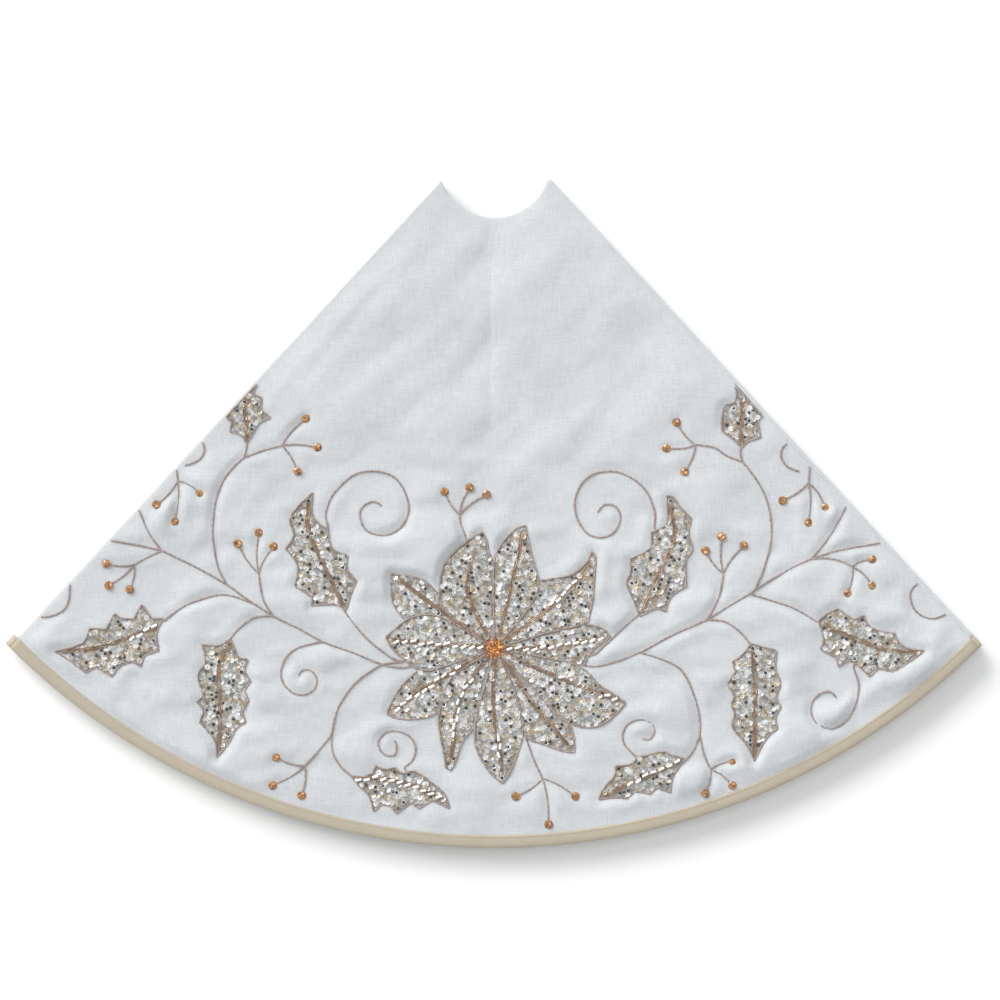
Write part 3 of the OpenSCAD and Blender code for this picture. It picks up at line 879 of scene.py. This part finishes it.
SEQUIN = revolved([(0, -0.42 * MM), (3.0 * MM, 0.22 * MM), (0, -0.22 * MM)], 8)
SEED = ball(0.9 * MM, 0.75 * MM, 6, 4)
DARK_SEED = ball(1.65 * MM, 1.15 * MM, 8, 4)
NET_TOP = CLOTH_TOP + 0.35 * MM


def fill(shape, rib, pitch, edge):
    """Places in staggered rows along the rib, inside a shape and clear of its edge."""
    low, high = shape.min(axis=0), shape.max(axis=0)
    middle, reach = (low + high) / 2, np.linalg.norm(high - low) / 2
    along = rib[-1] - rib[0]
    turn = math.atan2(along[1], along[0])
    count = int(reach / pitch) + 2
    grid = [
        ((i + 0.5 * (k % 2)) * pitch, k * pitch * ROW_SPACING)
        for k in range(-count, count + 1) for i in range(-count, count + 1)
    ]
    across = np.array([[math.cos(turn), math.sin(turn)], [-math.sin(turn), math.cos(turn)]])
    places = np.array(grid) @ across + middle + rng.normal(0, 0.35 * MM, (len(grid), 2))
    places = places[inside(shape, places)]
    return places[distances(tree_of(spaced(shape, 1 * MM)), places) > edge]


def rib_in(shape, ribs):
    """The rib that runs through a shape."""
    return max(ribs, key=lambda rib: inside(shape, rib).sum())


def sequins_mesh(name, shapes, ribs, rib_clear=1.6 * MM):
    """Cupped sequins. Most are held by a seed bead, some of them pale painted glints, and one in eight by a
    larger dark one, whose black is a painted dark reflection.
    """
    parts = Stamps()
    materials = [SILVER, CHAMPAGNE, CLEAR, DARK_BEAD_PAINTED_REFLECTION, GLINT, COPPER]
    for shape in shapes:
        rib = rib_in(shape, ribs)
        places = fill(shape, rib, 4.5 * MM, 2.0 * MM)
        if not len(places):
            continue
        places = places[distances(tree_of(spaced(rib, 1 * MM)), places) > rib_clear]
        for x, y in places:
            tilt, way = abs(random.gauss(0, 0.2)), random.uniform(0, 2 * math.pi)
            height = NET_TOP + random.uniform(0.45, 1.0) * MM
            kind = random.choices((0, 1, 2), (0.46, 0.30, 0.24))[0]
            turn = random.uniform(0, 1)
            matrix = placed(x, y, height, turn, tilt, way, random.uniform(0.86, 1.04))
            parts.add(SEQUIN, matrix, kind)
            bead = random.random()
            # one in eight gets a larger bead painted black, as a painted dark reflection
            if bead < 0.13:
                parts.add(DARK_SEED, placed(x, y, height + 0.45 * MM, 0, tilt, way), 3)
            elif bead < 0.62:
                # slot 4 gives the seed bead the painted glint colour, slot 1 the champagne colour
                parts.add(SEED, placed(x, y, height + 0.35 * MM, 0, tilt, way), 4 if bead < 0.36 else 1)
    return parts.mesh(name, materials, smooth=False)


def tube(length, radius, sides=6):
    """A bugle bead along x."""
    turns = [2 * math.pi * (k + 0.5) / sides for k in range(sides)]
    ring_at = [(radius * math.cos(a), radius * math.sin(a)) for a in turns]
    points = [(x, y, z) for x in (-length / 2, length / 2) for y, z in ring_at]
    return np.array(points), swept_faces(2, sides)


BUGLE_SHAPE = tube(5.9 * MM, 1.35 * MM)
THREAD_SHAPE = tube(8 * MM, 0.5 * MM, 5)
BUGLE_LEAN = math.radians(33)  # the way the bugle beads lean, but for those on a steep rib
STEEP = math.radians(60)


def ribs_mesh(name, ribs, beaded):
    """Copper threads along every rib, and slanted bugle beads over the stretches listed in beaded
    as (rib, from, to), in shares of its length from its outer end."""
    parts = Stamps()
    for rib in ribs:
        for (x, y), (dx, dy) in headings(spaced(rib, 3.6 * MM)):
            turn = math.atan2(dy, dx)
            for shift in (-1.7, 0.0, 1.6):
                side = (shift + random.uniform(-0.3, 0.3)) * MM
                matrix = placed(
                    x - math.sin(turn) * side, y + math.cos(turn) * side,
                    NET_TOP + random.uniform(0.6, 1.1) * MM, turn + random.gauss(0, 0.07),
                )
                parts.add(THREAD_SHAPE, matrix, 1 if random.random() < 0.8 else 2)
    for near, start, finish in beaded:
        rib = ribs[nearest_rib(ribs, np.array(near) * MM)]
        if np.linalg.norm(rib[0] - np.array(near) * MM) > np.linalg.norm(rib[-1] - np.array(near) * MM):
            rib = rib[::-1]
        path = spaced(rib, 8.2 * MM)
        for k, ((x, y), (dx, dy)) in enumerate(headings(path)):
            if not start <= k / len(path) <= finish:
                continue
            line = math.atan(dy / dx) if abs(dx) > 1e-9 else math.pi / 2
            lean = line if abs(line) > STEEP else 0.4 * line + 0.6 * BUGLE_LEAN
            side = random.uniform(-2.0, 2.0) * MM
            along = math.atan2(dy, dx)
            matrix = placed(
                x - math.sin(along) * side, y + math.cos(along) * side, NET_TOP + 1.75 * MM,
                lean + random.gauss(0, 0.1), random.uniform(-0.1, 0.1), along,
            )
            parts.add(BUGLE_SHAPE, matrix, 0)
    return parts.mesh(name, [BUGLE, COPPER, CHAMPAGNE], smooth=False)


def nearest_rib(ribs, point):
    """Which rib's end lies nearest a point."""
    return min(range(len(ribs)), key=lambda i: min(np.linalg.norm(ribs[i][k] - point) for k in (0, -1)))


# Where bugle beads lie, as (rib's outer end in mm, from, to)
PETAL_BUGLES = [
    ((-98, -479), 0.0, 1.0), ((106, -476), 0.0, 1.0), ((-98, -552), 0.0, 0.75), ((95, -402), 0.15, 0.5),
    ((-46, -608), 0.15, 0.75), ((6, -620), 0.1, 0.3), ((122, -535), 0.0, 0.08), ((122, -535), 0.45, 0.52),
]
LEAF_BUGLES = [((-56, -636), 0.0, 0.95), ((112, -633), 0.3, 1.0), ((-330, -485), 0.0, 0.3)]


BERRY = ball(4.5 * MM, 1.6 * MM, 8, 4)
BERRY_SEED = ball(1.35 * MM, 0.55 * MM, 6, 4)
CENTRE_BEAD = ball(3.1 * MM, 1.55 * MM, 7, 4)
CENTRE_CHIP = ball(1.5 * MM, 1.1 * MM, 6, 4)


def beads_mesh(name, places, shape, mat, chips=()):
    """Faceted beads, each held by a small darker one, with chips of glass laid between them if asked."""
    parts = Stamps()
    for x, y in places:
        turn, tilt = random.uniform(0, 1), random.uniform(0.05, 0.22)
        parts.add(shape, placed(x, y, CLOTH_TOP + 1.62 * MM, turn, tilt, turn * 6), 0)
        seed_x, seed_y = x + random.uniform(-0.7, 0.7) * MM, y + random.uniform(-0.7, 0.7) * MM
        parts.add(BERRY_SEED, placed(seed_x, seed_y, CLOTH_TOP + 2.75 * MM), 1)
    for x, y in chips:
        parts.add(CENTRE_CHIP, placed(x, y, CLOTH_TOP + 1.5 * MM), random.choice((0, 0, 1)))
    return parts.mesh(name, [mat, AMBER_DEEP], smooth=False)


# ---- folds, facings and patches ----


def fold_section(middle, gap):
    """Points across a fold as (outwards, height), round the outside and back round the inside, and the
    count of them that lie outside."""
    outer, inner = gap / 2 + CLOTH_TOP, gap / 2
    turns = np.radians(np.linspace(90, -90, 15))
    outside = [(0.5 * MM + 0.74 * outer * math.cos(a), middle + outer * math.sin(a)) for a in turns]
    within = [(0.5 * MM + 0.74 * inner * math.cos(a), middle + inner * math.sin(a)) for a in turns[::-1]]
    overlap = -0.6 * MM
    outside = [(overlap, middle + outer), *outside, (overlap, middle - outer)]
    return outside + [(overlap, middle - inner), *within, (overlap, middle + inner)], len(outside)


def fold_mesh(name, middle, gap, side, reach_from, reach_to, mats, swell=0.0):
    """The cloth that bends round a fold, between two distances from the neck; mats are its outer and
    inner faces."""
    section, outside = fold_section(middle, gap)
    slices = max(4, round((reach_to - reach_from) / (4 * MM)))
    points = []
    for k in range(slices + 1):
        run = reach_from + (reach_to - reach_from) * k / slices
        soft = 1 + 0.1 * noise.noise((run * 30, side * 5.0, middle * 90))
        for out, height in section:
            bulge = out * soft + (swell if out > 0 else 0)
            x, y = NECK_CORNER + FOLD_ALONG * run + FOLD_OUT * bulge
            points.append((side * x, y, middle + (height - middle) * (1 + swell / (6 * MM))))
    slots = [0 if s < outside else 1 for s in range(len(section))] * slices
    mesh = new_mesh(name, points, swept_faces(slices + 1, len(section)), mats, [*slots, 0, 0])
    flip_if_inside_out(mesh)
    return mesh


def build_fold(first, second):
    """The bend of one fold, and the binding that goes round it at the hem. The linings face each
    other inside the first and third folds, and the embroidered faces inside the second."""
    node_name = f"fold_{first}_{second}"
    joint = next(j for j in frame["joints"] if j["child"] == f"quarter_{second}")
    side = 1 if joint["pos_m"][0] > 0 else -1
    low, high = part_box(node_name)
    middle = (low.z + high.z) / 2
    gap = (high.z - low.z) - 2 * CLOTH_TOP
    faces_out = first % 2 == 1
    mats = [FACE, LINING] if faces_out else [LINING, FACE]
    hem = FOLD_LENGTH - TAPE_W
    bend = link(fold_mesh(f"{node_name}_cloth", middle, gap, side, 0, hem, mats), f"{node_name}_cloth")
    tape = fold_mesh(f"{node_name}_tape", middle, gap, side, hem, FOLD_LENGTH, [BINDING] * 2, 0.35 * MM)
    ends = link(tape, f"{node_name}_tape")
    for piece, slot in ((bend, "face_cloth" if faces_out else "lining"), (ends, "binding")):
        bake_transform(piece)
    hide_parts(node_name)


def flat_piece(name, outlines, low, high, mat, step, rounding=0.0):
    """A thin flat piece between two heights, its edges rounded if asked."""
    bm = bmesh.new()
    for outline in outlines:
        closed = closed_line(outline, step)[:-1]
        face = bm.faces.new([bm.verts.new((x, y, high)) for x, y in closed])
        if face.normal.z < 0:
            face.normal_flip()
    tops = bm.faces[:]
    made = bmesh.ops.extrude_face_region(bm, geom=tops, use_keep_orig=True)
    for part in made["geom"]:
        if isinstance(part, bmesh.types.BMVert):
            part.co.z = low
    bmesh.ops.recalc_face_normals(bm, faces=bm.faces)
    if rounding:
        sharp = [e for e in bm.edges if e.calc_face_angle(0) > 0.6]
        bmesh.ops.bevel(bm, geom=sharp, offset=rounding, segments=2, affect="EDGES")
    bmesh.ops.triangulate(bm, faces=bm.faces)
    mesh = bpy.data.meshes.new(name)
    bm.to_mesh(mesh)
    bm.free()
    mesh.materials.append(mat)
    return mesh


def border_stitches(name, outlines, inset, height, up, mat):
    """Stitches inside the border of flat pieces, at a height; up is 1 or -1, the way they face."""
    stitches = Stamps()
    shape = bridge_stitch(1.2 * MM, 0.4 * MM, 0.45 * MM)
    for outline in outlines:
        middle = (outline.min(axis=0) + outline.max(axis=0)) / 2
        closed = closed_line(outline, 3.4 * MM)
        for (x, y), (dx, dy) in headings(closed)[1:-1]:
            out = np.array([dy, -dx]) / (math.hypot(dx, dy) + 1e-12)
            spot = np.array([x, y]) - out * inset
            if not inside(outline, spot[None])[0]:
                spot = np.array([x, y]) + out * inset
            matrix = placed(*spot, height, math.atan2(dy, dx))
            stitches.add(shape, matrix if up > 0 else matrix @ Matrix.Rotation(math.pi, 4, "X"))
    return stitches.mesh(name, [mat])


# ---- putting it together ----


def place(mesh, name, quarter, slot, *nodes):
    """One piece of a quarter: it lies in that quarter's place, rides on it and stands for its nodes."""
    obj = link(mesh, f"quarter_{quarter}_{name}")
    turn = Matrix.Rotation(0 if quarter % 2 else math.pi, 4, "Y")
    obj.matrix_world = Matrix.Translation((0, 0, base_height(quarter))) @ turn
    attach(obj, f"quarter_{quarter}")
    if nodes:
        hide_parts(*(f"{n}_{quarter}" for n in nodes))
    return obj


def build_quarters():
    top_face, pressed_face = cloth_meshes()
    felt = layer("felt", FELT, LINING_TOP, FELT_TOP, 60, 40)
    lining = layer("lining", LINING, 0, LINING_TOP, 90, 60)
    binding, hem_stitches = binding_mesh(), hem_stitches_mesh()
    heart = np.array(ring(HEART_R, 24))
    petal_net = flat_piece("petal_net", [*petals, heart], CLOTH_TOP - 0.1 * MM, NET_TOP, NET, 2.5 * MM)
    leaf_net = flat_piece("leaf_net", leaves, CLOTH_TOP - 0.1 * MM, NET_TOP, NET, 2.5 * MM)
    petal_sequins = sequins_mesh("petal_sequins", petals, petal_ribs)
    leaf_sequins = sequins_mesh("leaf_sequins", leaves, leaf_ribs)
    petal_rib_beads = ribs_mesh("petal_ribs", petal_ribs, PETAL_BUGLES)
    leaf_rib_beads = ribs_mesh("leaf_ribs", leaf_ribs, LEAF_BUGLES)
    petal_cord = cord_mesh("petal_cord", petal_edges, 0.85 * MM, CLOTH_TOP + 0.95 * MM, CORD)
    leaf_cord = cord_mesh("leaf_cord", leaf_edges, 0.8 * MM, CLOTH_TOP + 0.9 * MM, CORD)
    vine_cord = cord_mesh("vine_cord", vines, 0.85 * MM, CLOTH_TOP + 0.7 * MM, CORD)
    twig_cord = cord_mesh("twig_cord", twigs, 0.8 * MM, CLOTH_TOP + 0.65 * MM, CORD)
    vine_stitches = couching(vines + twigs, 4.6 * MM, 0.85 * MM).mesh("vine_couching", [COUCHING])
    edge_stitches = couching(petal_edges + leaf_edges, 7 * MM, 0.9 * MM)
    edge_stitches = edge_stitches.mesh("edge_couching", [COUCHING])
    berries = beads_mesh("berries", berry_places, BERRY, AMBER)
    chips = ring(4.6 * MM, 6) + ring(9.6 * MM, 15)
    centre = beads_mesh("flower_centre", centre_places, CENTRE_BEAD, ORANGE, chips)
    trim = [
        (binding, "binding", "binding", "hem_binding"),
        (hem_stitches, "hem_stitches", "binding"),
        (petal_net, "petal_net", "sequins"),
        (petal_sequins, "petal_sequins", "sequins", "petals"),
        (petal_cord, "petal_cord", "couched_cord"),
        (petal_rib_beads, "petal_ribs", "rib_beads", "petal_ribs"),
        (leaf_net, "leaf_net", "sequins"),
        (leaf_sequins, "leaf_sequins", "sequins", "holly_leaves"),
        (leaf_cord, "leaf_cord", "couched_cord"),
        (leaf_rib_beads, "leaf_ribs", "rib_beads", "leaf_ribs"),
        (vine_cord, "vine_cord", "couched_cord", "vine_cords"),
        (twig_cord, "twig_cord", "couched_cord", "berry_twigs"),
        (vine_stitches, "vine_couching", "couched_cord"),
        (edge_stitches, "edge_couching", "couched_cord"),
        (berries, "berries", "amber_beads", "berries"),
        (centre, "flower_centre", "amber_beads", "flower_centre"),
    ]  # (mesh, piece, slot, CAD node it stands for, if any)
    for q in QUARTERS:
        cloth = place(top_face if q == 1 else pressed_face, "cloth", q, "face_cloth", "face_cloth")
        padding = place(felt, "interlining", q, "interlining", "interlining")
        back = place(lining, "lining", q, "lining", "lining")
        trims = [place(mesh, name, q, slot, *nodes) for mesh, name, slot, *nodes in trim]


def build_trim():
    """The facings of the two slit edges, and the hook and loop patches that close the slit."""
    for part, quarter, mat, inset, slot in (
        ("slit_facing", 1, LINING, 2.4 * MM, "lining"),
        ("slit_facing", 4, LINING, 2.4 * MM, "lining"),
        ("hook_patches", 1, HOOKS, 1.6 * MM, "hook_tape"),
        ("loop_patches", 4, LOOPS, 1.6 * MM, "loop_tape"),
    ):
        node_name, body = f"{part}_{quarter}", f"quarter_{quarter}"
        outlines, (low, high) = solid_outlines(node_name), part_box(node_name)
        # the side of the quarter that it is on
        up = 1 if low.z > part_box(f"interlining_{quarter}")[0].z else -1
        mesh = flat_piece(node_name, outlines, low.z, high.z, mat, 4 * MM, 0.15 * MM)
        facing = link(mesh, f"{body}_{part}")
        height = low.z + 0.1 * MM if up < 0 else high.z - 0.1 * MM
        sewing = link(
            border_stitches(f"{node_name}_stitches", outlines, inset, height, up, BINDING_THREAD),
            f"{body}_{part}_stitches",
        )
        for piece in (facing, sewing):
            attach(piece, body)
        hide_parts(node_name)


def build_stage():
    """Pale floor under the beads of the lowest quarter, soft light, and the camera straight above."""
    size = 30
    mesh = bpy.data.meshes.new("floor")
    floor_z = cad_box[0].z - 0.1 * MM
    corners = [(-size, -size), (size, -size), (size, size), (-size, size)]
    mesh.from_pydata([(x, y, floor_z) for x, y in corners], [], [(0, 1, 2, 3)])
    floor = link(mesh, "floor")
    mat, tree, shader = material("floor_paper", (0.93, 0.93, 0.93), 0.9)
    tinted(tree, shader, noise_at(tree, (3, 3, 3)), (0.925,) * 3, (0.935,) * 3)
    mesh.materials.append(mat)
    middle = Vector((5.5 * MM, -338.5 * MM, 0))
    for name, kind, offset, size, power, color in (
        ("key", "SUN", (-1.4, 1.5, 1.3), 0.8, 3.3, (1.0, 0.99, 0.97)),
        ("fill", "SUN", (1.7, -1.3, 2.2), 0.5, 0.3, (0.95, 0.98, 1.0)),
        ("top", "AREA", (0.3, 0.25, 2.6), 0.9, 9, (1.0, 1.0, 1.0)),
    ):
        lamp = bpy.data.lights.new(name, kind)
        lamp.energy, lamp.color = power, color
        if kind == "SUN":
            lamp.angle = size
        else:
            lamp.shape, lamp.size = "DISK", size
        obj = bpy.data.objects.new(name, lamp)
        obj.location = middle + Vector(offset)
        obj.rotation_euler = Vector(offset).to_track_quat("Z", "Y").to_euler()
        bpy.context.scene.collection.objects.link(obj)
    world = bpy.data.worlds.new("studio")
    world.use_nodes = True
    sky = world.node_tree.nodes["Background"]
    sky.inputs["Color"].default_value = (0.97, 0.985, 1.0, 1)
    sky.inputs["Strength"].default_value = 0.56
    bpy.context.scene.world = world
    bpy.context.scene.view_settings.view_transform = "Standard"
    camera = bpy.data.cameras.new("camera")
    distance, view_width = 6.0, 1.0
    camera.sensor_width = 36
    camera.lens = camera.sensor_width * distance / view_width
    camera.clip_end = 50
    eye = bpy.data.objects.new("camera", camera)
    eye.location = middle + Vector((0, 0, cad_box[1].z + distance))
    bpy.context.scene.collection.objects.link(eye)
    bpy.context.scene.camera = eye


build_stage()
build_quarters()
for pair in ((1, 2), (2, 3), (3, 4)):
    build_fold(*pair)
build_trim()
